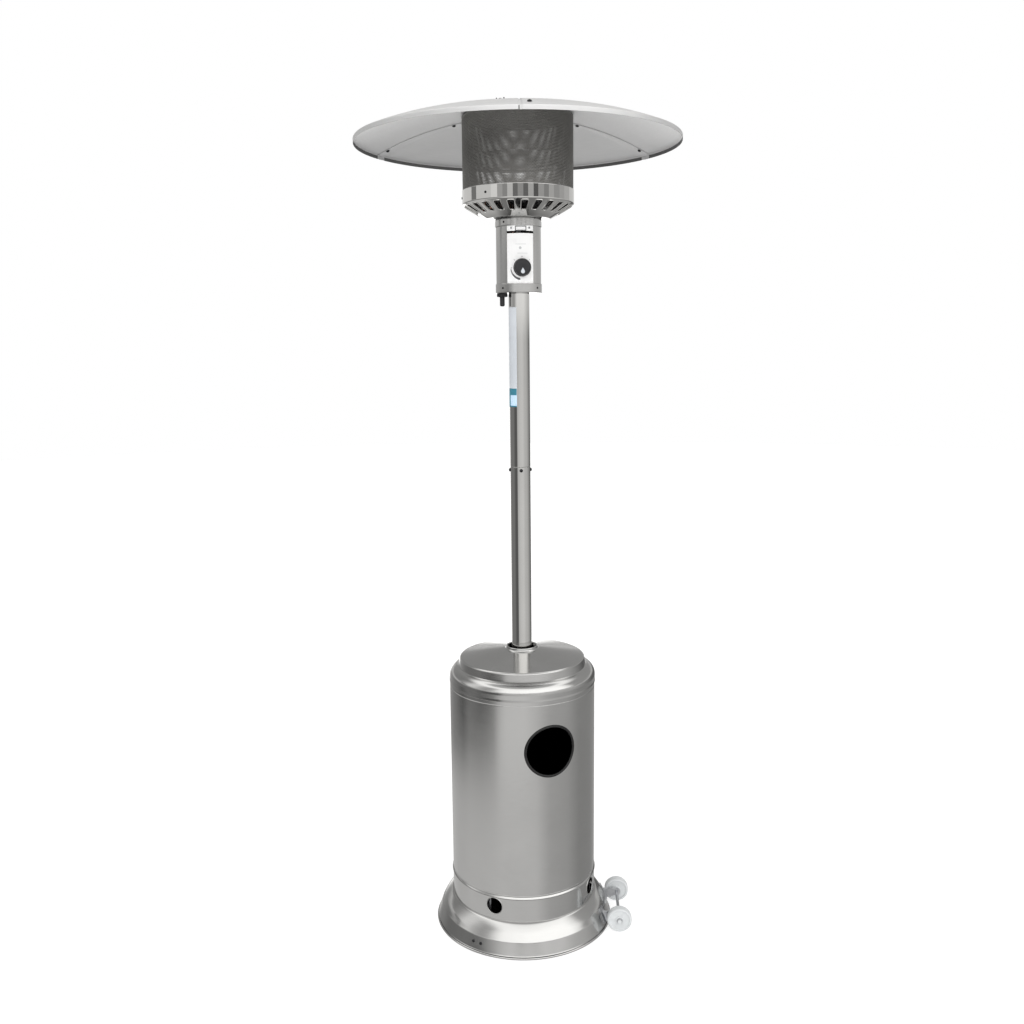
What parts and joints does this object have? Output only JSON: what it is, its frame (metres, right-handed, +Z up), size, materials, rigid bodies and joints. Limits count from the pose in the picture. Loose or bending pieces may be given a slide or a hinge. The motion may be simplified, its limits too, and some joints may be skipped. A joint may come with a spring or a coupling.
{
  "type": "patio heater",
  "caption": "Free-standing mushroom patio heater with a lift-up cylinder housing, post, control head, slotted burner bowl, emitter screen and wide dished reflector.",
  "frame": {"origin": "where the post's axis meets the floor, at the middle of the reflector's and base's outline", "axes": "+Z up along the post, -Y towards the person facing the gas control, +X to their right, where the wheels are"},
  "size_m": [0.813, 0.813, 2.1453],
  "materials": {
    "brushed_steel": "fine circumferential brushing, satin",
    "polished_steel": "mirror polished stainless",
    "panel_steel": "bright smooth",
    "reflector_aluminium": "matt mill finish",
    "emitter_mesh": "perforated, grey",
    "galvanised_steel": "dull zinc",
    "brass": "machined",
    "copper": "drawn copper",
    "cast_alloy": "die cast",
    "dark_screw": "blackened",
    "black_plastic": "moulded, satin",
    "black_rubber": "glossy edge trim",
    "light_plastic": "moulded, light grey-white",
    "ceramic": "glazed insulator",
    "lead_sleeve": "silicone sleeve"
  },
  "bodies": {
    "root": {"base_pan": "brushed_steel", "base_skirt": "brushed_steel", "head_base": "brushed_steel", "head_shell": "brushed_steel", "head_collar": "brushed_steel", "lower_post": "polished_steel", "upper_post": "polished_steel", "burner_bowl": "polished_steel", "control_panel": "panel_steel", "panel_top_strip": "panel_steel", "reflector_petal_left": "reflector_aluminium", "reflector_petal_right": "reflector_aluminium", "reflector_petal_rear": "reflector_aluminium", "emitter_screen": "emitter_mesh", "emitter_cap": "emitter_mesh", "support_leg_1": "galvanised_steel", "support_leg_2": "galvanised_steel", "support_leg_3": "galvanised_steel", "post_mount": "galvanised_steel", "wheel_arm_front": "galvanised_steel", "wheel_arm_rear": "galvanised_steel", "wheel_axle": "galvanised_steel", "valve_bracket": "galvanised_steel", "mixer_tube": "galvanised_steel", "burner_head": "galvanised_steel", "gas_inlet_fitting": "brass", "gas_jet": "brass", "pilot_burner": "brass", "pilot_tube": "copper", "thermocouple": "copper", "valve_body": "cast_alloy", "skirt_screw_1": "dark_screw", "skirt_screw_2": "dark_screw", "post_screw_1": "dark_screw", "post_screw_2": "dark_screw", "post_screw_3": "dark_screw", "post_screw_4": "dark_screw", "seam_bolt_1": "dark_screw", "seam_bolt_2": "dark_screw", "seam_bolt_3": "dark_screw", "seam_bolt_4": "dark_screw", "seam_bolt_5": "dark_screw", "seam_bolt_6": "dark_screw", "wing_nut_1": "dark_screw", "wing_nut_2": "dark_screw", "wing_nut_3": "dark_screw", "igniter_body": "black_plastic", "igniter_nut": "black_plastic", "tilt_switch": "black_plastic", "spark_electrode": "ceramic", "ignition_lead": "lead_sleeve"},
    "housing": {"housing_cylinder": "brushed_steel", "housing_lid": "brushed_steel", "hand_hole_trim": "black_rubber"},
    "valve_plug": {"valve_plug": "brass"},
    "knob": {"valve_spindle": "galvanised_steel", "control_knob": "black_plastic"},
    "igniter_button": {"igniter_button": "black_plastic"},
    "wheel_front": {"wheel_front": "light_plastic"},
    "wheel_rear": {"wheel_rear": "light_plastic"}
  },
  "joints": [
    {"name": "housing_lift", "type": "slide", "parent": "root", "child": "housing", "axis": [0, 0, 1], "range_m": [0, 0.6]},
    {"name": "knob_turn", "type": "hinge", "parent": "root", "child": "valve_plug", "pos_m": [0.0035, -0.0567, 1.757], "axis": [0, -1, 0], "range_deg": [0, 200]},
    {"name": "knob_push", "type": "slide", "parent": "valve_plug", "child": "knob", "axis": [0, 1, 0], "range_m": [0, 0.005], "stiffness_N_per_m": 400},
    {"name": "igniter_push", "type": "slide", "parent": "root", "child": "igniter_button", "axis": [0, 0, 1], "range_m": [0, 0.004], "stiffness_N_per_m": 400},
    {"name": "wheel_front_spin", "type": "hinge", "parent": "root", "child": "wheel_front", "pos_m": [0.24746, -0.12359, 0.034], "axis": [0.1253, 0.9921, 0], "continuous": true},
    {"name": "wheel_rear_spin", "type": "hinge", "parent": "root", "child": "wheel_rear", "pos_m": [0.26741, 0.03435, 0.034], "axis": [0.1253, 0.9921, 0], "continuous": true}
  ]
}
